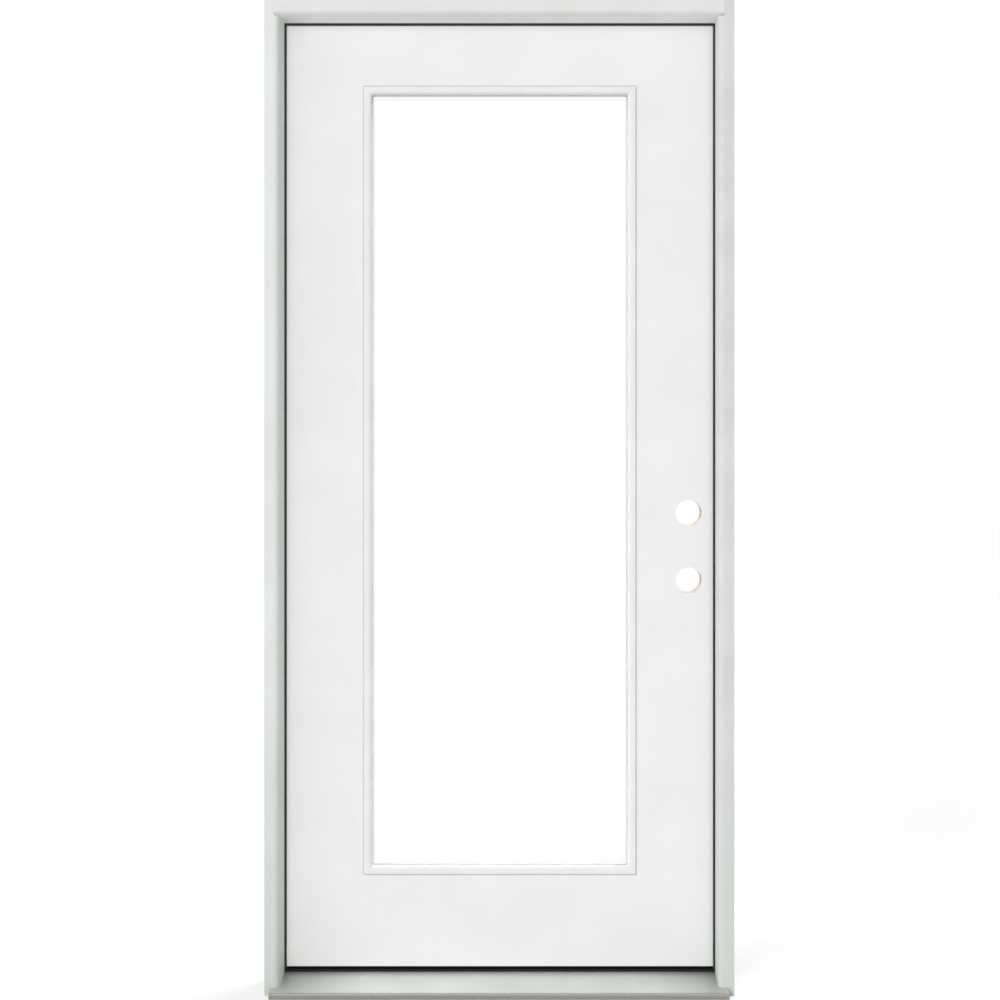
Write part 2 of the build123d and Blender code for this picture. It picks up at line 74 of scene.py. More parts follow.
camera_data = bpy.data.cameras.new("door_camera")
camera = bpy.data.objects.new("door_camera", camera_data)
bpy.context.scene.collection.objects.link(camera)
camera.location = CAMERA_AT
camera.rotation_euler = (math.pi / 2, 0, 0)
camera_data.lens = CAMERA_LENS
camera_data.sensor_width = CAMERA_SENSOR
camera_data.shift_x, camera_data.shift_y = CAMERA_SHIFT
bpy.context.scene.camera = camera
bpy.context.scene.view_settings.view_transform = "Standard"
print("camera", CAMERA_AT)

# %% [markdown]
# A finish is a small tree of nodes round one Principled shader. Colours are written as a
# picture gives them, 0 to 255, and turned into the linear values that the shader wants.


# %% Start a finish
def linear(*srgb):
    """A colour as a picture gives it, 0 to 255, in the linear values that shaders use."""
    parts = [v / 255 for v in srgb]
    return (*[p / 12.92 if p <= 0.04045 else ((p + 0.055) / 1.055) ** 2.4 for p in parts], 1.0)


def new_finish(name, colour, roughness, metallic=0.0, specular=0.5):
    """A material with one Principled shader; returns the material, its nodes and the shader."""
    material = bpy.data.materials.new(name)
    material.use_nodes = True
    shader = material.node_tree.nodes["Principled BSDF"]
    shader.inputs["Base Color"].default_value = colour
    shader.inputs["Roughness"].default_value = roughness
    shader.inputs["Metallic"].default_value = metallic
    shader.inputs["Specular IOR Level"].default_value = specular
    return material, material.node_tree, shader


print("a white of 238 is", round(linear(238, 238, 238)[0], 3), "linear")

# %% [markdown]
# Real surfaces vary a little, and a noise does that without a picture. It reads Object
# coordinates through a Mapping node, which stretches it along a grain. Object coordinates
# are metres here, so a noise scale of 500 has features about 2 mm apart. A Map Range node
# then picks the part of the noise that a finish needs. Most of a noise lies near one half,
# so two such parts serve again and again: the middle of it, and a wider one.


# %% Noise and its range
MIDDLE = (0.35, 0.65)
WIDE = (0.3, 0.7)


def noise(tree, scale, stretch=(1, 1, 1), detail=2.0, distortion=0.0):
    """Noise on Object coordinates; returns its value socket."""
    coordinates = tree.nodes.new("ShaderNodeTexCoord")
    mapping = tree.nodes.new("ShaderNodeMapping")
    mapping.inputs["Scale"].default_value = stretch
    texture = tree.nodes.new("ShaderNodeTexNoise")
    texture.inputs["Scale"].default_value = scale
    texture.inputs["Detail"].default_value = detail
    texture.inputs["Distortion"].default_value = distortion
    tree.links.new(coordinates.outputs["Object"], mapping.inputs["Vector"])
    tree.links.new(mapping.outputs["Vector"], texture.inputs["Vector"])
    return texture.outputs["Fac"]


def spread(tree, value, low, high, out_low=0.0, out_high=1.0):
    """A value from low to high, stretched to a new range."""
    node = tree.nodes.new("ShaderNodeMapRange")
    node.inputs["From Min"].default_value = low
    node.inputs["From Max"].default_value = high
    node.inputs["To Min"].default_value = out_low
    node.inputs["To Max"].default_value = out_high
    tree.links.new(value, node.inputs["Value"])
    return node.outputs["Result"]


print("noise reads Object coordinates, which are metres")

# %% [markdown]
# A finish that changes along the object reads one axis of the same coordinates. Math nodes
# combine such values.


# %% Places and sums
def position(tree):
    """The X, Y and Z sockets of the Object coordinates."""
    coordinates = tree.nodes.new("ShaderNodeTexCoord")
    axes = tree.nodes.new("ShaderNodeSeparateXYZ")
    tree.links.new(coordinates.outputs["Object"], axes.inputs["Vector"])
    return axes.outputs


def calculate(tree, operation, *values):
    """One Math node; a value is a number or a socket."""
    node = tree.nodes.new("ShaderNodeMath")
    node.operation = operation
    for socket, value in zip(node.inputs, values):
        if isinstance(value, float):
            socket.default_value = value
        else:
            tree.links.new(value, socket)
    return node.outputs["Value"]


print("the slab lies between z", round(skin_low.z, 3), "and", round(skin_high.z, 3))

# %% [markdown]
# A noise can do three things to a surface: mix two colours, vary the roughness, and lift the
# shader's normal into a relief. The relief's distance is in metres, so a peel of paint is a
# few hundredths of a millimetre.


# %% Colour, roughness and relief
def blend_colours(tree, factor, first, second):
    """A mix of two colours or colour sockets by a factor socket."""
    node = tree.nodes.new("ShaderNodeMix")
    node.data_type = "RGBA"
    tree.links.new(factor, node.inputs["Factor"])
    for socket, colour in ((node.inputs["A"], first), (node.inputs["B"], second)):
        if isinstance(colour, tuple):
            socket.default_value = colour
        else:
            tree.links.new(colour, socket)
    return node.outputs["Result"]


def two_tones(tree, shader, value, window, first, second):
    """The base colour turns from the first to the second as a value crosses a window."""
    colour = blend_colours(tree, spread(tree, value, *window), first, second)
    tree.links.new(colour, shader.inputs["Base Color"])


def vary_roughness(tree, shader, value, smoothest, roughest):
    """The roughness follows a noise."""
    roughness = spread(tree, value, *WIDE, smoothest, roughest)
    tree.links.new(roughness, shader.inputs["Roughness"])


def bump(tree, shader, height, strength, distance):
    """Gives the shader's normal a relief from a height socket."""
    node = tree.nodes.new("ShaderNodeBump")
    node.inputs["Strength"].default_value = strength
    node.inputs["Distance"].default_value = distance
    tree.links.new(height, node.inputs["Height"])
    tree.links.new(node.outputs["Normal"], shader.inputs["Normal"])


print("a noise's middle is", MIDDLE)

# %% [markdown]
# A finish goes on a solid by way of its material slots. The mesh itself isn't touched.


# %% Dress the solids
def dress(names, material):
    """Puts one finish on some of the frame's nodes."""
    for name in names:
        mesh = nodes[name].data
        mesh.materials.clear()
        mesh.materials.append(material)
    print(material.name, "on", len(names), "nodes")


print(len(nodes), "nodes wait for a finish")

# %% [markdown]
# The skins are pressed from fibreglass compound and sprayed white. The paint is satin, with
# a very fine orange peel. The colour itself hardly varies, in clouds a hand's width across.

# %% Painted fibreglass
SLAB_WHITE = linear(238, 238, 238)
SLAB_SHADE = linear(235, 235, 235)


def painted_fibreglass():
    material, tree, shader = new_finish(
        "painted_fibreglass", SLAB_WHITE, roughness=0.5, specular=0.35,
    )
    clouds = noise(tree, scale=7, detail=3)
    two_tones(tree, shader, clouds, MIDDLE, SLAB_WHITE, SLAB_SHADE)
    peel = noise(tree, scale=900)
    vary_roughness(tree, shader, peel, smoothest=0.46, roughest=0.54)
    bump(tree, shader, peel, strength=0.12, distance=0.06 * MM)
    return material


dress(["exterior_skin", "interior_skin"], painted_fibreglass())

# %% [markdown]
# The frames round the glass are moulded plastic in the same white. A mould gives a
# smoother, slightly glossier face than paint, so the crown of the moulding catches a thin
# line of light.

# %% Moulded glazing frames
MOULDING_WHITE = linear(236, 236, 235)
MOULDING_SHADE = linear(233, 233, 231)


def moulded_plastic():
    material, tree, shader = new_finish(
        "moulded_plastic", MOULDING_WHITE, roughness=0.38, specular=0.4,
    )
    clouds = noise(tree, scale=16, detail=3)
    two_tones(tree, shader, clouds, MIDDLE, MOULDING_WHITE, MOULDING_SHADE)
    grain = noise(tree, scale=1500)
    vary_roughness(tree, shader, grain, smoothest=0.34, roughest=0.42)
    bump(tree, shader, grain, strength=0.08, distance=0.04 * MM)
    return material


moulding_finish = moulded_plastic()
dress(["exterior_glazing_frame", "interior_glazing_frame"], moulding_finish)

# %% [markdown]
# The jambs and the head are softwood with a factory primer, a shade greyer and greener than
# the slab. Primer fills the grain but doesn't hide it: long faint ridges run along each
# board. A board's grain follows its length, so the upright boards and the head get the same
# finish with the noise stretched along a different axis. The strike jamb has a darker copy
# of the primer, which is painted shade. On the upright boards a painted shade grows darker
# towards their feet, as light from above falls off. The face of the opening on the hinge
# side gets a second painted shade, which grows along X over the rounded edge of the board.

# %% Primed timber
ACROSS = 1.0
ALONG = 0.03
UPRIGHT_GRAIN = (ACROSS, ACROSS, ALONG)
LEVEL_GRAIN = (ALONG, ACROSS, ACROSS)
HINGE_SIDE_PRIMER = (linear(228, 232, 233), linear(222, 226, 224))
# painted shade: the strike jamb's primer is a darker copy of the hinge jamb's
STRIKE_SIDE_SHADED_PRIMER = (linear(216, 217, 217), linear(210, 211, 209))
HEAD_PRIMER = (linear(229, 230, 230), linear(224, 225, 223))


def primed_timber(name, stretch, tones):
    """Primer over a grain, which the stretch draws out along the board."""
    light, shade = tones
    material, tree, shader = new_finish(name, light, roughness=0.52)
    grain = noise(tree, scale=260, stretch=stretch, detail=4, distortion=0.3)
    patches = noise(tree, scale=9, detail=3)
    tone = blend_colours(tree, spread(tree, patches, *MIDDLE), light, shade)
    ridges = spread(tree, grain, low=0.45, high=0.8, out_high=0.5)
    board = blend_colours(tree, ridges, tone, shade)
    tree.links.new(board, shader.inputs["Base Color"])
    vary_roughness(tree, shader, grain, smoothest=0.48, roughest=0.58)
    bump(tree, shader, grain, strength=0.18, distance=0.12 * MM)
    return material


hinge_side_finish = primed_timber("primed_hinge_jamb", UPRIGHT_GRAIN, HINGE_SIDE_PRIMER)
shaded_strike_finish = primed_timber("primed_strike_jamb_shaded", UPRIGHT_GRAIN, STRIKE_SIDE_SHADED_PRIMER)
dress(["hinge_jamb"], hinge_side_finish)
dress(["strike_jamb"], shaded_strike_finish)
dress(["head_jamb"], primed_timber("primed_head", LEVEL_GRAIN, HEAD_PRIMER))

# %% [markdown]
# A painted shade, and later a patch of bare wood, lies over a finish that is already made. So
# one helper takes what feeds the base colour and puts a mix in between, with the new colour
# where its mask is 1.


# %% Painted shade on the jambs
# painted shade that darkens the upright boards towards their feet
FOOT_SHADE_GREY = linear(201, 206, 200)
FOOT_SHADE_LOW = 0.10
FOOT_SHADE_HIGH = 0.75
FOOT_SHADE_MOST = 0.75
# painted shade on the face of the opening on the hinge side
REVEAL_SHADE_GREY = linear(203, 206, 194)
REVEAL_SHADE_MOST = 0.72
REVEAL_SHADE_DEPTH = 6 * MM


def lay_over(material, mask, colour):
    """Lays a colour over a finish where a mask is 1."""
    tree = material.node_tree
    base = tree.nodes["Principled BSDF"].inputs["Base Color"]
    below = base.links[0].from_socket
    tree.links.new(blend_colours(tree, mask, below, colour), base)
    print("a layer on", material.name)


# painted shade: darker towards the feet of the jambs
for jamb_finish in (hinge_side_finish, shaded_strike_finish):
    height = position(jamb_finish.node_tree)["Z"]
    foot_shade = spread(jamb_finish.node_tree, height, FOOT_SHADE_LOW, FOOT_SHADE_HIGH, FOOT_SHADE_MOST, 0.0)
    lay_over(jamb_finish, foot_shade, FOOT_SHADE_GREY)
# painted shade on the hinge side's reveal, growing along X over its rounded edge
opening_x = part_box("hinge_jamb")[1].x
hinge_tree = hinge_side_finish.node_tree
sideways = position(hinge_tree)["X"]
reveal_shade = spread(hinge_tree, sideways, opening_x - REVEAL_SHADE_DEPTH, opening_x, 0.0, REVEAL_SHADE_MOST)
lay_over(hinge_side_finish, reveal_shade, REVEAL_SHADE_GREY)

# %% [markdown]
# Between the skins the edges of the slab are strips of timber, primed with the rest, and
# rails of composite at the top and the bottom. They show when the door stands open.

# %% Edges of the slab
EDGE_WHITE = linear(232, 231, 226)
EDGE_SHADE = linear(222, 220, 213)
RAIL_GREY = linear(226, 225, 220)


def edge_timber(name):
    material, tree, shader = new_finish(name, EDGE_WHITE, roughness=0.55)
    grain = noise(tree, scale=320, stretch=UPRIGHT_GRAIN, detail=4, distortion=0.4)
    two_tones(tree, shader, grain, (0.4, 0.75), EDGE_WHITE, EDGE_SHADE)
    bump(tree, shader, grain, strength=0.25, distance=0.15 * MM)
    return material


def composite_rail():
    material, tree, shader = new_finish("rail_composite", RAIL_GREY, roughness=0.6)
    specks = noise(tree, scale=700, detail=3)
    two_tones(tree, shader, specks, (0.5, 0.7), RAIL_GREY, EDGE_SHADE)
    bump(tree, shader, specks, strength=0.2, distance=0.1 * MM)
    return material


latch_edge_finish = edge_timber("latch_edge_timber")
dress(["hinge_stile"], edge_timber("hinge_edge_timber"))
dress(["latch_stile"], latch_edge_finish)
dress(["top_rail", "bottom_rail"], composite_rail())

# %% [markdown]
# The lock block is bare laminated pine, and it shows only inside the bores. The picture
# shows no dark wall there, so the pine is a pale one. Its thin plies stand upright across
# the block, so their noise changes fast along X and hardly at all along Y and Z. The cores
# are rigid foam.

# %% Lock block and cores
BARE_LIGHT = linear(242, 236, 222)
BARE_DARK = linear(226, 214, 192)
FOAM = linear(226, 214, 168)
FOAM_SHADE = linear(214, 198, 146)
PLIES = (1, 0.04, 0.02)
FIBRES = (1, 1, 0.05)


def laminated_timber():
    material, tree, shader = new_finish("laminated_timber", BARE_LIGHT, roughness=0.7)
    plies = noise(tree, scale=300, stretch=PLIES)
    fibres = noise(tree, scale=900, stretch=FIBRES, detail=4)
    layers = spread(tree, plies, low=0.42, high=0.58)
    ply_colour = blend_colours(tree, layers, BARE_LIGHT, BARE_DARK)
    streaks = spread(tree, fibres, low=0.4, high=0.9, out_high=0.6)
    colour = blend_colours(tree, streaks, ply_colour, BARE_DARK)
    tree.links.new(colour, shader.inputs["Base Color"])
    bump(tree, shader, fibres, strength=0.4, distance=0.2 * MM)
    return material


def rigid_foam():
    material, tree, shader = new_finish("rigid_foam", FOAM, roughness=0.85)
    cells = noise(tree, scale=1200, detail=3)
    two_tones(tree, shader, cells, (0.4, 0.6), FOAM, FOAM_SHADE)
    bump(tree, shader, cells, strength=0.5, distance=0.3 * MM)
    return material


dress(["lock_block"], laminated_timber())
dress(["hinge_side_core", "latch_side_core", "upper_core", "lower_core"], rigid_foam())

# %% [markdown]
# The seats and pockets for the bolts are cut after the primer, so they show bare wood. No
# second material is needed: a mask on Object coordinates is 1 inside a box that holds only
# the cut faces, and there it lays a wood colour over the primer. Three Compare nodes make
# the box, one for each axis.


# %% Bare wood inside a box
def inside_box(tree, low, high):
    """1 where Object coordinates lie inside a box, and 0 elsewhere."""
    axes = position(tree)
    x, y, z = [
        calculate(tree, "COMPARE", axes[axis], (a + b) / 2, (b - a) / 2)
        for axis, a, b in zip("XYZ", low, high)
    ]
    return calculate(tree, "MULTIPLY", calculate(tree, "MULTIPLY", x, y), z)


def bare_in_box(material, low, high):
    """Lays bare wood over a finish inside a box."""
    tree = material.node_tree
    fibres = noise(tree, scale=600, stretch=UPRIGHT_GRAIN, detail=4)
    wood = blend_colours(tree, spread(tree, fibres, low=0.35, high=0.7), BARE_LIGHT, BARE_DARK)
    lay_over(material, inside_box(tree, low, high), wood)


print("bare wood is laid where the timber was cut")

# %% [markdown]
# The box on the jamb starts just behind the face of the rabbet. The slab's edge is
# bevelled and a box is square, so the box there ends deeper than the bevel, but above the
# floors of the seats. That way both faces keep their primer.

# %% Where the timber was cut
SEAT_INSET = 4 * MM
RABBET_SKIN = 0.1 * MM
BACK_SKIN = 0.5 * MM
EDGE_SKIN = 3.5 * MM
BLOCK_LAP = 1 * MM

block_low, block_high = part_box("lock_block")
rabbet_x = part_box("head_jamb")[1].x
leg_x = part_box("strike_jamb")[1].x
edge_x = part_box("latch_stile")[1].x
seat_front = skin_low.y + SEAT_INSET
seat_back = inside_high.y - SEAT_INSET
bare_in_box(
    shaded_strike_finish,
    (rabbet_x + RABBET_SKIN, seat_front, block_low.z),
    (leg_x - BACK_SKIN, seat_back, block_high.z),
)
bare_in_box(
    latch_edge_finish,
    (block_high.x - BLOCK_LAP, seat_front, block_low.z),
    (edge_x - EDGE_SKIN, seat_back, block_high.z),
)

# %% [markdown]
# The glass is two clear panes with a spacer between them. Each pane is a closed solid, so a
# Principled shader with full transmission bends light in and out of it as real glass does.
# Light from lamps would stop at it, because refraction sends it off the straight line to
# the lamp, so shadow rays meet a Transparent shader instead. The faint tint is on the
# shader's own socket.

# %% Clear glass
GLASS_TINT = (0.996, 0.999, 0.998, 1.0)
GLASS_SHADOW = (0.97, 0.98, 0.975, 1.0)
GLASS_IOR = 1.5


def mix_shaders(tree, factor, first, second):
    """A mix of two shader sockets; the factor is a number or a socket."""
    mix = tree.nodes.new("ShaderNodeMixShader")
    if isinstance(factor, float):
        mix.inputs["Fac"].default_value = factor
    else:
        tree.links.new(factor, mix.inputs["Fac"])
    tree.links.new(first, mix.inputs[1])
    tree.links.new(second, mix.inputs[2])
    return mix.outputs["Shader"]


def clear_glass():
    material, tree, shader = new_finish("window_glass", GLASS_TINT, roughness=0.0)
    shader.inputs["Transmission Weight"].default_value = 1.0
    shader.inputs["IOR"].default_value = GLASS_IOR
    path = tree.nodes.new("ShaderNodeLightPath").outputs
    clear = tree.nodes.new("ShaderNodeBsdfTransparent")
    clear.inputs["Color"].default_value = GLASS_SHADOW
    glass, shadow = shader.outputs["BSDF"], clear.outputs["BSDF"]
    mixed = mix_shaders(tree, path["Is Shadow Ray"], glass, shadow)
    tree.links.new(mixed, tree.nodes["Material Output"].inputs["Surface"])
    return material


dress(["exterior_pane", "interior_pane"], clear_glass())

# %% [markdown]
# The spacer is a folded strip of mill-finish metal. It shows as a thin grey band between the
# panes when the door is seen at an angle.

# %% Spacer
SPACER_GREY = linear(176, 178, 178)
SPACER_SHADE = linear(150, 152, 152)
ROLLED = (0.1, 1, 0.1)


def spacer_bar():
    material, tree, shader = new_finish("spacer_metal", SPACER_GREY, roughness=0.4, metallic=0.9)
    streaks = noise(tree, scale=800, stretch=ROLLED, detail=3)
    two_tones(tree, shader, streaks, MIDDLE, SPACER_GREY, SPACER_SHADE)
    bump(tree, shader, streaks, strength=0.1, distance=0.05 * MM)
    return material


dress(["pane_spacer"], spacer_bar())

# %% [markdown]
# The deck of the sill is aluminium as it leaves the press, with fine lines along its length:
# a noise stretched a hundred times along X, used for both the relief and the roughness.
# The rounded nose of the deck gets a painted reflection: a step along Y turns it darker there,
# as if its metal mirrored a dark room in front. The two corners under the jambs get a painted
# shade, which is a step along X, the same to both sides, times a step along Y.

# %% Sill deck
DRAWN = (0.01, 1, 1)
DECK_METAL = linear(234, 236, 232)
DECK_SHADE = linear(222, 225, 220)
# painted shade in the two corners under the jambs
DECK_CORNER_SHADE = linear(160, 164, 158)
CORNER_SHADE_START = 0.28
CORNER_SHADE_END = 0.44
CORNER_SHADE_AT_NOSE = 0.35
# painted reflection: a darker nose, as if it mirrored a dark room in front
NOSE_REFLECTION_GREY = linear(160, 162, 159)
NOSE_FRONT = 2 * MM
NOSE_DEPTH = 6 * MM

deck_low, deck_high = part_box("sill_deck")


def sill_aluminium():
    material, tree, shader = new_finish("deck_metal", DECK_METAL, roughness=0.45, metallic=0.7)
    stains = noise(tree, scale=6, detail=3)
    two_tones(tree, shader, stains, MIDDLE, DECK_METAL, DECK_SHADE)
    axes = position(tree)
    # painted shade in the corners under the jambs, stronger towards the slab
    to_sides = spread(tree, calculate(tree, "ABSOLUTE", axes["X"]), CORNER_SHADE_START, CORNER_SHADE_END)
    inwards = spread(tree, axes["Y"], deck_low.y, deck_high.y, CORNER_SHADE_AT_NOSE, 1.0)
    lay_over(material, calculate(tree, "MULTIPLY", to_sides, inwards), DECK_CORNER_SHADE)
    # painted reflection that darkens the nose
    nose_reflection = spread(tree, axes["Y"], deck_low.y + NOSE_FRONT, deck_low.y + NOSE_DEPTH, 1.0, 0.0)
    lay_over(material, nose_reflection, NOSE_REFLECTION_GREY)
    lines = noise(tree, scale=1400, stretch=DRAWN, detail=3)
    vary_roughness(tree, shader, lines, smoothest=0.40, roughest=0.52)
    bump(tree, shader, lines, strength=0.15, distance=0.08 * MM)
    return material


dress(["sill_deck"], sill_aluminium())

# %% [markdown]
# The base of the sill is a brown composite. One noise gives it both its dark and its pale
# specks, from the two ends of its range. The cap under the slab is a black composite with
# the same drawn lines as the deck.

# %% Sill base and cap
BASE_BROWN = linear(162, 153, 144)
BASE_DARK = linear(130, 121, 112)
BASE_PALE = linear(186, 178, 168)
CAP_BLACK = linear(26, 25, 25)
CAP_SHADE = linear(16, 16, 16)
SPECKS = (0.35, 1, 1)


def sill_composite():
    material, tree, shader = new_finish("base_composite", BASE_BROWN, roughness=0.7)
    specks = noise(tree, scale=1100, stretch=SPECKS, detail=4)
    two_tones(tree, shader, specks, (0.35, 0.5), BASE_DARK, BASE_BROWN)
    lay_over(material, spread(tree, specks, low=0.58, high=0.75), BASE_PALE)
    bump(tree, shader, specks, strength=0.35, distance=0.2 * MM)
    return material


def cap_composite():
    material, tree, shader = new_finish("cap_plastic", CAP_BLACK, roughness=0.6, specular=0.2)
    lines = noise(tree, scale=700, stretch=DRAWN, detail=3)
    two_tones(tree, shader, lines, MIDDLE, CAP_BLACK, CAP_SHADE)
    bump(tree, shader, lines, strength=0.2, distance=0.1 * MM)
    return material


dress(["sill_base"], sill_composite())
dress(["sill_cap"], cap_composite())

# %% [markdown]
# The seals are black: a foam bulb in a smooth skin along the stops, pads at the feet of the
# rabbets, and a finned sweep under the slab. Black rubber is never quite black. A small
# sheen keeps the round of the bulb readable beside the white stop.

# %% Seals
RUBBER = linear(34, 34, 36)
RUBBER_PALE = linear(52, 52, 54)


def seal_rubber():
    material, tree, shader = new_finish("black_seal", RUBBER, roughness=0.5, specular=0.3)
    dust = noise(tree, scale=420, detail=4)
    two_tones(tree, shader, dust, (0.5, 0.8), RUBBER, RUBBER_PALE)
    vary_roughness(tree, shader, dust, smoothest=0.42, roughest=0.58)
    bump(tree, shader, dust, strength=0.15, distance=0.1 * MM)
    return material


BULB_SEALS = ["hinge_side_weatherstrip", "strike_side_weatherstrip", "head_weatherstrip"]
OTHER_SEALS = ["hinge_side_corner_pad", "strike_side_corner_pad", "door_sweep"]
dress(BULB_SEALS + OTHER_SEALS, seal_rubber())

# %% [markdown]
# The hinges are steel with a satin nickel face. Satin plate is brushed before plating, so
# the roughness has fine lines, here along the height of the leaf.

# %% Hinge steel
NICKEL = linear(198, 195, 188)
NICKEL_SHADE = linear(182, 179, 172)
BRUSHED = (1, 1, 0.03)


def satin_nickel():
    material, tree, shader = new_finish("satin_nickel", NICKEL, roughness=0.32, metallic=1.0)
    brushed = noise(tree, scale=2600, stretch=BRUSHED, detail=3)
    two_tones(tree, shader, brushed, MIDDLE, NICKEL, NICKEL_SHADE)
    vary_roughness(tree, shader, brushed, smoothest=0.26, roughest=0.4)
    bump(tree, shader, brushed, strength=0.12, distance=0.04 * MM)
    return material


hinge_finish = satin_nickel()
HINGE_PARTS = ("jamb_leaf", "door_leaf", "pin")
dress([f"{place}_hinge_{part}" for place in PLACES for part in HINGE_PARTS], hinge_finish)

# %% [markdown]
# Screws repeat, so Geometry Nodes make them. A tree needs named inputs, so that one tree
# serves screws of every size, and a few kinds of node come again and again in it. These
# helpers make the inputs and those nodes.


# %% Parts of a tree
def new_tree(name, inputs, output):
    """A Geometry Nodes tree; returns it with its input sockets and its output socket."""
    tree = bpy.data.node_groups.new(name, "GeometryNodeTree")
    for label, kind, default in inputs:
        socket = tree.interface.new_socket(name=label, in_out="INPUT", socket_type=kind)
        if default is not None:
            socket.default_value = default
    tree.interface.new_socket(name=output, in_out="OUTPUT", socket_type="NodeSocketGeometry")
    given = tree.nodes.new("NodeGroupInput").outputs
    return tree, given, tree.nodes.new("NodeGroupOutput").inputs[output]


def make_node(tree, kind, **settings):
    node = tree.nodes.new(kind)
    for name, value in settings.items():
        setattr(node, name, value)
    return node


def vector(tree, **parts):
    """A vector whose X, Y and Z come from sockets."""
    node = make_node(tree, "ShaderNodeCombineXYZ")
    for axis, socket in parts.items():
        tree.links.new(socket, node.inputs[axis])
    return node.outputs["Vector"]


def transform(tree, geometry, **sockets):
    """Geometry moved or scaled by sockets."""
    node = make_node(tree, "GeometryNodeTransform")
    tree.links.new(geometry, node.inputs["Geometry"])
    for name, socket in sockets.items():
        tree.links.new(socket, node.inputs[name])
    return node.outputs["Geometry"]


def end_tree(tree, geometry, material, output):
    """Realize Instances makes real faces, and Set Material finishes them."""
    real = make_node(tree, "GeometryNodeRealizeInstances")
    finish = make_node(tree, "GeometryNodeSetMaterial")
    tree.links.new(geometry, real.inputs["Geometry"])
    tree.links.new(real.outputs["Geometry"], finish.inputs["Geometry"])
    tree.links.new(material, finish.inputs["Material"])
    tree.links.new(finish.outputs["Geometry"], output)


print("trees end in Realize Instances and Set Material")

# %% [markdown]
# The head is a flattened sphere. A cross is cut out of it by a Mesh Boolean, with two flat
# bars that stand a little deeper than the dome is high. The same tree makes plain plugs, so
# a Switch chooses between the cut head and the smooth one.

# %% A screw head
HEAD_SEGMENTS = 28
HEAD_RINGS = 14
CUT_DEPTH = 1.2


def plain_head(tree, given):
    """A unit sphere scaled to the radius and the dome."""
    ball = make_node(tree, "GeometryNodeMeshUVSphere")
    ball.inputs["Segments"].default_value = HEAD_SEGMENTS
    ball.inputs["Rings"].default_value = HEAD_RINGS
    ball.inputs["Radius"].default_value = 1.0
    size = vector(tree, X=given["Radius"], Y=given["Radius"], Z=given["Dome"])
    return transform(tree, ball.outputs["Mesh"], Scale=size)


def cross_bar(tree, given, length, width):
    """A flat bar at the top of the dome, as deep as the cut."""
    bar = make_node(tree, "GeometryNodeMeshCube")
    depth = calculate(tree, "MULTIPLY", given["Dome"], CUT_DEPTH)
    size = vector(tree, X=given[length], Y=given[width], Z=depth)
    tree.links.new(size, bar.inputs["Size"])
    return transform(tree, bar.outputs["Mesh"], Translation=vector(tree, Z=given["Dome"]))


def screw_head(tree, given):
    """The plain head, or the one with a cross where the Cross input is on."""
    head = plain_head(tree, given)
    cut = make_node(tree, "GeometryNodeMeshBoolean", operation="DIFFERENCE")
    tree.links.new(head, cut.inputs["Mesh 1"])
    for length, width in (("Slot Length", "Slot Width"), ("Slot Width", "Slot Length")):
        tree.links.new(cross_bar(tree, given, length, width), cut.inputs["Mesh 2"])
    choice = make_node(tree, "GeometryNodeSwitch", input_type="GEOMETRY")
    tree.links.new(given["Cross"], choice.inputs["Switch"])
    tree.links.new(head, choice.inputs["False"])
    tree.links.new(cut.outputs["Mesh"], choice.inputs["True"])
    return choice.outputs["Output"]


print("a head has", HEAD_SEGMENTS, "segments")

# %% [markdown]
# The tree takes a mesh that has one vertex for each screw and puts the head on every vertex.
# Align Rotation to Vector makes the heads look along the Facing input. Each head is then
# turned about its own axis by a random angle, from a fixed seed, because nobody lines screws
# up.

# %% The screw tree
SCREW_INPUTS = (
    ("Points", "NodeSocketGeometry", None),
    ("Radius", "NodeSocketFloat", 4 * MM),
    ("Dome", "NodeSocketFloat", 0.8 * MM),
    ("Slot Width", "NodeSocketFloat", 1.2 * MM),
    ("Slot Length", "NodeSocketFloat", 5 * MM),
    ("Facing", "NodeSocketVector", (0, 0, 1)),
    ("Cross", "NodeSocketBool", True),
    ("Seed", "NodeSocketInt", 1),
    ("Finish", "NodeSocketMaterial", None),
)


def random_turn(tree, given):
    """The rotation that looks along Facing, turned by a random angle about its own axis."""
    aim = make_node(tree, "FunctionNodeAlignRotationToVector", axis="Z")
    tree.links.new(given["Facing"], aim.inputs["Vector"])
    angle = make_node(tree, "FunctionNodeRandomValue", data_type="FLOAT")
    least, most = angle.inputs[2], angle.inputs[3]
    least.default_value = 0.0
    most.default_value = math.tau
    tree.links.new(given["Seed"], angle.inputs["Seed"])
    both = make_node(tree, "FunctionNodeRotateRotation", rotation_space="LOCAL")
    tree.links.new(aim.outputs["Rotation"], both.inputs["Rotation"])
    tree.links.new(vector(tree, Z=angle.outputs[1]), both.inputs["Rotate By"])
    return both.outputs["Rotation"]


def screw_tree():
    """Points in, screw heads out."""
    tree, given, output = new_tree("screws", SCREW_INPUTS, "Screws")
    copies = make_node(tree, "GeometryNodeInstanceOnPoints")
    tree.links.new(given["Points"], copies.inputs["Points"])
    tree.links.new(screw_head(tree, given), copies.inputs["Instance"])
    tree.links.new(random_turn(tree, given), copies.inputs["Rotation"])
    end_tree(tree, copies.outputs["Instances"], given["Finish"], output)
    return tree


screws = screw_tree()
print("screw tree has", len(screws.nodes), "nodes")

# %% [markdown]
# A tree runs on an object through a modifier. Its inputs are set by the socket's identifier
# before the object is first evaluated. Then the evaluated mesh is copied into a plain one
# and the modifier goes, so that the piece is only faces.


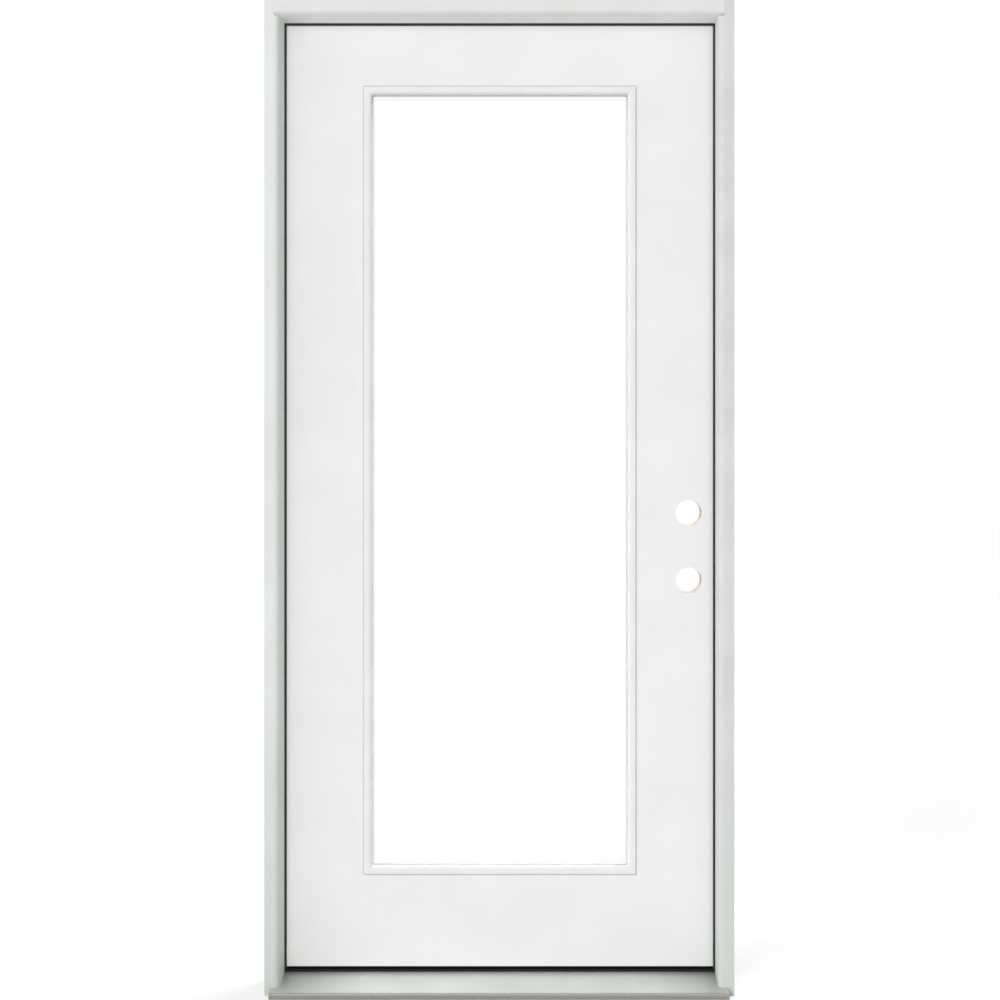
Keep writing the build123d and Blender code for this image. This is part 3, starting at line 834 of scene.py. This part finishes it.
# %% Run a tree into a plain mesh
def run_tree(name, start_mesh, tree, inputs):
    """The result of a Geometry Nodes tree on a mesh, as a plain object at the origin."""
    carrier = bpy.data.objects.new(name + "_carrier", start_mesh)
    bpy.context.scene.collection.objects.link(carrier)
    modifier = carrier.modifiers.new("build", "NODES")
    modifier.node_group = tree
    identifiers = {
        item.name: item.identifier
        for item in tree.interface.items_tree
        if item.item_type == "SOCKET" and item.in_out == "INPUT"
    }
    for label, value in inputs.items():
        modifier[identifiers[label]] = value
    graph = bpy.context.evaluated_depsgraph_get()
    mesh = bpy.data.meshes.new_from_object(carrier.evaluated_get(graph))
    mesh.name = name
    carrier.modifiers.clear()
    bpy.data.objects.remove(carrier)
    piece = bpy.data.objects.new(name, mesh)
    bpy.context.scene.collection.objects.link(piece)
    print(name, len(mesh.polygons), "faces")
    return piece


def points_mesh(name, points):
    """A mesh of loose vertices, one at each point."""
    mesh = bpy.data.meshes.new(name)
    mesh.from_pydata([tuple(p) for p in points], [], [])
    return mesh


# %% [markdown]
# A row of screws is one piece. Its inputs are few: where, which way, how large and in which
# finish. The slots of the cross follow the size of the head.

# %% A row of screws
SLOT_WIDTH = 0.32
SLOT_LENGTH = 1.15


def screw_row(name, body, points, facing, finish, radius, dome, seed, cross=True):
    """One piece of equal screws, riding on a body."""
    piece = run_tree(name, points_mesh(name + "_places", points), screws, {
        "Radius": radius, "Dome": dome,
        "Slot Width": SLOT_WIDTH * radius, "Slot Length": SLOT_LENGTH * radius,
        "Facing": facing, "Cross": cross, "Seed": seed, "Finish": finish,
    })
    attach(piece, body)
    return piece


print("a slot is", SLOT_WIDTH, "of the head's radius wide")

# %% [markdown]
# Each hinge leaf is held by four screws, set in two rows that are staggered so that they
# don't split the edge of the board. The heads lie in countersinks, so that only a shallow
# dome stands above the leaf, and two leaves can close on each other. The leaf on the jamb
# looks along +X and the leaf on the slab along -X.

# %% Hinge screws
SCREW_RADIUS = 4.1 * MM
SCREW_DOME = 0.7 * MM
SCREW_STAGGER = 8.5 * MM
SCREW_ROWS = ((-0.39, 1), (-0.14, -1), (0.14, -1), (0.39, 1))


def leaf_screw_places(kind, facing):
    """Four places on the bare face of each leaf of a kind."""
    found = []
    for place in PLACES:
        low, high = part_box(f"{place}_hinge_{kind}")
        pin_low, pin_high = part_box(f"{place}_hinge_pin")
        pin_x = (pin_low.x + pin_high.x) / 2
        face_x = pin_x - facing * (skin_low.x - pin_x)
        middle_y = (low.y + inside_high.y) / 2
        middle_z = (low.z + high.z) / 2
        for share, side in SCREW_ROWS:
            z = middle_z + share * (high.z - low.z)
            found.append((face_x, middle_y + side * SCREW_STAGGER, z))
    return found


for body, kind, facing in (("frame", "jamb_leaf", 1), ("door", "door_leaf", -1)):
    row = screw_row(
        f"{body}_hinge_screws", body, leaf_screw_places(kind, facing), (facing, 0, 0),
        hinge_finish, SCREW_RADIUS, SCREW_DOME, seed=7,
    )

# %% [markdown]
# The same tree serves wherever the unit is screwed together. Steel screws go through each
# leg into the end of the head, halfway up the board above the slab's gap, and at the foot
# into the sill. They have a thin plate of zinc, which goes dull and a little yellow in
# patches.

# %% Frame screws
FRAME_SCREW_RADIUS = 3.6 * MM
FRAME_SCREW_DOME = 0.5 * MM
HEAD_SCREW_Y = (-36 * MM, 0.0, 36 * MM)
FOOT_SCREW_Y = (-30 * MM, 20 * MM)
FOOT_SCREW_HEIGHT = 0.45
SLAB_GAP = 5.1 * MM
ZINC = linear(190, 188, 176)
ZINC_SHADE = linear(166, 163, 148)


def zinc_plate():
    material, tree, shader = new_finish("zinc_plate", ZINC, roughness=0.36, metallic=1.0)
    patches = noise(tree, scale=500, detail=3)
    two_tones(tree, shader, patches, MIDDLE, ZINC, ZINC_SHADE)
    vary_roughness(tree, shader, patches, smoothest=0.3, roughest=0.45)
    bump(tree, shader, patches, strength=0.1, distance=0.04 * MM)
    return material


zinc = zinc_plate()
base_low, base_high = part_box("sill_base")
head_screw_z = (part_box("head_jamb")[1].z + skin_high.z + SLAB_GAP) / 2
foot_screw_z = base_low.z + FOOT_SCREW_HEIGHT * (base_high.z - base_low.z)
for side, label in ((-1, "left"), (1, "right")):
    places = [(side * leg_x, y, head_screw_z) for y in HEAD_SCREW_Y]
    places += [(side * leg_x, y, foot_screw_z) for y in FOOT_SCREW_Y]
    row = screw_row(
        f"{label}_frame_screws", "frame", places, (side, 0, 0), zinc,
        FRAME_SCREW_RADIUS, FRAME_SCREW_DOME, seed=11 + side,
    )

# %% [markdown]
# Small screws hold the cap of the sill down and set its height. They sit between two fins of
# the sweep, so that the door never catches them.

# %% Cap screws
CAP_SCREW_RADIUS = 2.7 * MM
CAP_SCREW_DOME = 0.25 * MM
CAP_SCREW_COUNT = 6
CAP_SCREW_Y = 37.7 * MM

cap_low, cap_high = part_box("sill_cap")
cap_steps = [(i + 0.5) / CAP_SCREW_COUNT - 0.5 for i in range(CAP_SCREW_COUNT)]
cap_places = [(step * (cap_high.x - cap_low.x), CAP_SCREW_Y, cap_high.z) for step in cap_steps]
row = screw_row(
    "cap_screws", "frame", cap_places, (0, 0, 1), zinc, CAP_SCREW_RADIUS, CAP_SCREW_DOME, seed=5,
)

# %% [markdown]
# From inside the house, screws clamp the two glazing frames together through the slab.
# White plugs cover them. The tree makes them too, with its Cross switch off, on the flat top
# of the moulding's crown.

# %% Plugs over the glazing screws
PLUG_RADIUS = 2.3 * MM
PLUG_DOME = 0.7 * MM
PLUG_INSET = 6.25 * MM
PLUG_CORNER = 60 * MM
PLUGS_ACROSS = 3
PLUGS_UP = 8


def between(start, end, count):
    """Evenly spaced values, the first and last a corner's distance from the ends."""
    reach = end - start - 2 * PLUG_CORNER
    return [start + PLUG_CORNER + i / (count - 1) * reach for i in range(count)]


def plug_places():
    """Places along the four sides of the inside frame's crown."""
    left, right = moulding_low.x + PLUG_INSET, moulding_high.x - PLUG_INSET
    foot, top = moulding_low.z + PLUG_INSET, moulding_high.z - PLUG_INSET
    y = moulding_high.y
    level = [(x, y, z) for x in between(left, right, PLUGS_ACROSS) for z in (foot, top)]
    upright = [(x, y, z) for x in (left, right) for z in between(foot, top, PLUGS_UP)]
    return level + upright


plugs = screw_row(
    "glazing_screw_plugs", "door", plug_places(), (0, 1, 0), moulding_finish,
    PLUG_RADIUS, PLUG_DOME, seed=3, cross=False,
)

# %% [markdown]
# A bead of clear sealant closes the corner where the moulding meets the glass. It follows
# the edge of the daylight all the way round, so a curve makes it: a Quadrilateral with its
# corners slightly filleted, and a small circle swept along it by Curve to Mesh. Without the
# fillet the tube would be pinched at the corners. Most of the tube lies in the moulding and
# in the glass, as a real bead wets both.

# %% The bead tree
BEAD_INPUTS = (
    ("Points", "NodeSocketGeometry", None),
    ("Width", "NodeSocketFloat", 0.5),
    ("Height", "NodeSocketFloat", 1.5),
    ("Thickness", "NodeSocketFloat", 1 * MM),
    ("Corner", "NodeSocketFloat", 2 * MM),
    ("Place", "NodeSocketVector", (0, 0, 0)),
    ("Finish", "NodeSocketMaterial", None),
)
CORNER_STEPS = 6
BEAD_SIDES = 12


def bead_route(tree, given):
    """The edge of the daylight as a curve in the XY plane."""
    route = make_node(tree, "GeometryNodeCurvePrimitiveQuadrilateral")
    tree.links.new(given["Width"], route.inputs["Width"])
    tree.links.new(given["Height"], route.inputs["Height"])
    soften = make_node(tree, "GeometryNodeFilletCurve", mode="POLY")
    soften.inputs["Count"].default_value = CORNER_STEPS
    tree.links.new(route.outputs["Curve"], soften.inputs["Curve"])
    tree.links.new(given["Corner"], soften.inputs["Radius"])
    return soften.outputs["Curve"]


def bead_tree():
    """A thin round bead along a rectangle that stands in the XZ plane."""
    tree, given, output = new_tree("glazing_bead", BEAD_INPUTS, "Bead")
    section = make_node(tree, "GeometryNodeCurvePrimitiveCircle")
    section.inputs["Resolution"].default_value = BEAD_SIDES
    tree.links.new(given["Thickness"], section.inputs["Radius"])
    tube = make_node(tree, "GeometryNodeCurveToMesh")
    tree.links.new(bead_route(tree, given), tube.inputs["Curve"])
    tree.links.new(section.outputs["Curve"], tube.inputs["Profile Curve"])
    stand = make_node(tree, "GeometryNodeTransform")
    stand.inputs["Rotation"].default_value = (math.pi / 2, 0, 0)
    tree.links.new(tube.outputs["Mesh"], stand.inputs["Geometry"])
    tree.links.new(given["Place"], stand.inputs["Translation"])
    smooth = make_node(tree, "GeometryNodeSetShadeSmooth")
    tree.links.new(stand.outputs["Geometry"], smooth.inputs["Geometry"])
    end_tree(tree, smooth.outputs["Geometry"], given["Finish"], output)
    return tree


beads = bead_tree()
print("bead tree has", len(beads.nodes), "nodes")

# %% [markdown]
# The bead is laid on both sides of the glass. The inside frame stands a little back from
# the outside one, so that it stays hidden from the street, and its bead follows it. The
# sealant has a wet gloss, and its grey is painted shade: it draws a thin darker line of
# shade round the daylight.

# %% Sealant beads on both sides of the glass
BEAD_THICK = 0.9 * MM
BEAD_CORNER = 3.0 * MM
MOULDING_WIDTH = 19.5 * MM
INSIDE_SETBACK = 5.5 * MM
# painted shade: the bead's grey draws the darker line round the daylight
SHADED_SEALANT = linear(170, 172, 170)
SHADED_SEALANT_DARK = linear(156, 158, 156)


def sealant_painted_shade():
    material, tree, shader = new_finish("sealant_painted_shade", SHADED_SEALANT, roughness=0.28)
    pulls = noise(tree, scale=300, detail=3)
    two_tones(tree, shader, pulls, MIDDLE, SHADED_SEALANT, SHADED_SEALANT_DARK)
    bump(tree, shader, pulls, strength=0.3, distance=0.1 * MM)
    return material


shaded_sealant = sealant_painted_shade()
back_pane_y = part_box("interior_pane")[1].y
GLASS_SIDES = (("outside", pane_low.y, 0.0), ("inside", back_pane_y, INSIDE_SETBACK))
for side, y, setback in GLASS_SIDES:
    width = moulding_high.x - moulding_low.x - 2 * (MOULDING_WIDTH - setback)
    height = moulding_high.z - moulding_low.z - 2 * (MOULDING_WIDTH - setback)
    bead = run_tree(f"{side}_glass_bead", points_mesh("bead_start", []), beads, {
        "Width": width, "Height": height, "Thickness": BEAD_THICK, "Corner": BEAD_CORNER,
        "Place": (0, y, (pane_low.z + pane_high.z) / 2), "Finish": shaded_sealant,
    })
    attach(bead, "door")

# %% [markdown]
# Each pane is bedded on a white foam tape, which shows through the glass as a pale band
# beside the moulding when it is seen at an angle. The tape is a flat ring, and it is made in
# mesh code: two loops of corners in front, two behind, and four faces from corner to corner.


# %% A flat ring
def flat_ring(name, low, high, inner, outer, y_middle, thickness, finish):
    """A rectangular ring round an opening, from inner to outer beyond its edge."""
    shape = bmesh.new()
    loops = []
    for beyond in (inner, outer):
        for y in (y_middle - thickness / 2, y_middle + thickness / 2):
            corners = (
                (low.x - beyond, y, low.z - beyond), (high.x + beyond, y, low.z - beyond),
                (high.x + beyond, y, high.z + beyond), (low.x - beyond, y, high.z + beyond),
            )
            loops.append([shape.verts.new(c) for c in corners])
    inner_front, inner_back, outer_front, outer_back = loops
    for i in range(4):
        j = (i + 1) % 4
        for a, b in ((inner_front, outer_front), (outer_front, outer_back),
                     (outer_back, inner_back), (inner_back, inner_front)):
            shape.faces.new((a[i], a[j], b[j], b[i]))
    bmesh.ops.recalc_face_normals(shape, faces=shape.faces)
    mesh = bpy.data.meshes.new(name)
    shape.to_mesh(mesh)
    print(name, round(shape.calc_volume(signed=True) / MM ** 3), "cubic mm")
    shape.free()
    mesh.materials.append(finish)
    piece = bpy.data.objects.new(name, mesh)
    bpy.context.scene.collection.objects.link(piece)
    return piece


# %% [markdown]
# The tape starts a hair inside the pane's face, because two faces in exactly the same place
# would flicker in the render.

# %% Glazing tapes
TAPE_SINK = 0.15 * MM
TAPE_INNER = 0.2 * MM
TAPE_OUTER = 15.0 * MM
TAPE_WHITE = linear(238, 238, 236)
TAPE_SHADE = linear(228, 228, 225)


def foam_tape():
    material, tree, shader = new_finish("foam_tape", TAPE_WHITE, roughness=0.8)
    cells = noise(tree, scale=1500, detail=3)
    two_tones(tree, shader, cells, (0.4, 0.6), TAPE_WHITE, TAPE_SHADE)
    bump(tree, shader, cells, strength=0.4, distance=0.2 * MM)
    return material


tape_finish = foam_tape()
edge = Vector((MOULDING_WIDTH, 0, MOULDING_WIDTH))
for side, y, setback in GLASS_SIDES:
    tape = flat_ring(
        f"{side}_glazing_tape", moulding_low + edge, moulding_high - edge,
        setback + TAPE_INNER, TAPE_OUTER, y, 2 * TAPE_SINK, tape_finish,
    )
    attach(tape, "door")

# %% [markdown]
# The door is shown as a studio shows it: on plain white, in soft light from the upper left.
# The world reads white wherever the camera sees it, also in metal and through glass. For
# every other ray it is a soft grey light, so the white picture ground doesn't flood the
# object with light.

# %% World
SOFT_LIGHT = 0.515
WHITE = (1.0, 1.0, 1.0, 1.0)


def seen_rays(tree):
    """1 for rays that show the ground itself: straight, in a reflection or through glass."""
    path = tree.nodes.new("ShaderNodeLightPath").outputs
    either = calculate(tree, "MAXIMUM", path["Is Camera Ray"], path["Is Glossy Ray"])
    return calculate(tree, "MAXIMUM", either, path["Is Transmission Ray"])


world = bpy.data.worlds.new("studio")
world.use_nodes = True
bpy.context.scene.world = world
air = world.node_tree
soft = air.nodes["Background"]
soft.inputs["Color"].default_value = WHITE
soft.inputs["Strength"].default_value = SOFT_LIGHT
ground = air.nodes.new("ShaderNodeBackground")
ground.inputs["Color"].default_value = WHITE
ground.inputs["Strength"].default_value = 1.0
sky = mix_shaders(air, seen_rays(air), soft.outputs["Background"], ground.outputs["Background"])
air.links.new(sky, air.nodes["World Output"].inputs["Surface"])
print("world light", SOFT_LIGHT)

# %% [markdown]
# The floor does the same. Where it is seen it is mostly white by itself, and the rest of it
# is lit by the lamps, which keeps the door's soft shadow on it. To the light that bounces it
# is only a pale board.

# %% Floor
FLOOR_HALF = 30.0
FLOOR_SELF_WHITE = 0.60
FLOOR_BOARD = (0.80, 0.80, 0.80, 1.0)
FLOOR_LIT = (0.90, 0.90, 0.90, 1.0)


def coloured_shader(tree, kind, colour):
    """A shader node that has only a colour to set; returns its output."""
    node = tree.nodes.new(kind)
    node.inputs["Color"].default_value = colour
    return node.outputs[0]


def floor_finish():
    material = bpy.data.materials.new("studio_floor")
    material.use_nodes = True
    tree = material.node_tree
    tree.nodes.remove(tree.nodes["Principled BSDF"])
    board = coloured_shader(tree, "ShaderNodeBsdfDiffuse", FLOOR_BOARD)
    lit = coloured_shader(tree, "ShaderNodeBsdfDiffuse", FLOOR_LIT)
    glow = coloured_shader(tree, "ShaderNodeEmission", WHITE)
    shown = mix_shaders(tree, FLOOR_SELF_WHITE, lit, glow)
    surface = mix_shaders(tree, seen_rays(tree), board, shown)
    tree.links.new(surface, tree.nodes["Material Output"].inputs["Surface"])
    return material


floor_mesh = bpy.data.meshes.new("floor")
corners = [(x * FLOOR_HALF, y * FLOOR_HALF, 0) for x, y in ((-1, -1), (1, -1), (1, 1), (-1, 1))]
floor_mesh.from_pydata(corners, [], [(0, 1, 2, 3)])
floor_mesh.materials.append(floor_finish())
floor = bpy.data.objects.new("floor", floor_mesh)
bpy.context.scene.collection.objects.link(floor)
print("floor", 2 * FLOOR_HALF, "m wide")

# %% [markdown]
# A door is two metres tall, and a lamp near it would light the top more than the foot. Sun
# lamps have no distance, so they light it evenly, and a wide disc makes their shadows soft.
# The key comes from the upper left in front, so the reveal on the right, which looks left,
# is the brighter one. A second lamp behind lights the side that faces the house in the
# same way.

# %% Lamps
LAMP_STRENGTH = 1.62
LAMP_DISC = math.radians(24)
LAMPS = (("key", (-0.52, -0.62, 0.58)), ("back", (0.52, 0.62, 0.58)))
for name, toward in LAMPS:
    lamp_data = bpy.data.lights.new(name, "SUN")
    lamp_data.energy = LAMP_STRENGTH
    lamp_data.angle = LAMP_DISC
    lamp = bpy.data.objects.new(name, lamp_data)
    lamp.rotation_euler = Vector(toward).to_track_quat("Z", "Y").to_euler()
    bpy.context.scene.collection.objects.link(lamp)
    print(name, toward)

# %% [markdown]
# The frame is 70 mm deep in front of the slab, and one lamp would draw its hard shadow down
# the slab. A studio lights such a door from so many sides that none shows. Shadow linking
# does the same with one lamp: the jambs, the head and the seals are left out of what blocks
# the key, while every small step of the moulding still casts its own shadow.

# %% Shadows that the key leaves out
no_shadow = bpy.data.collections.new("frame_edges")
for name in ["hinge_jamb", "strike_jamb", "head_jamb"] + BULB_SEALS:
    no_shadow.objects.link(nodes[name])
for item in no_shadow.collection_objects:
    item.light_linking.link_state = "EXCLUDE"
bpy.data.objects["key"].light_linking.blocker_collection = no_shadow
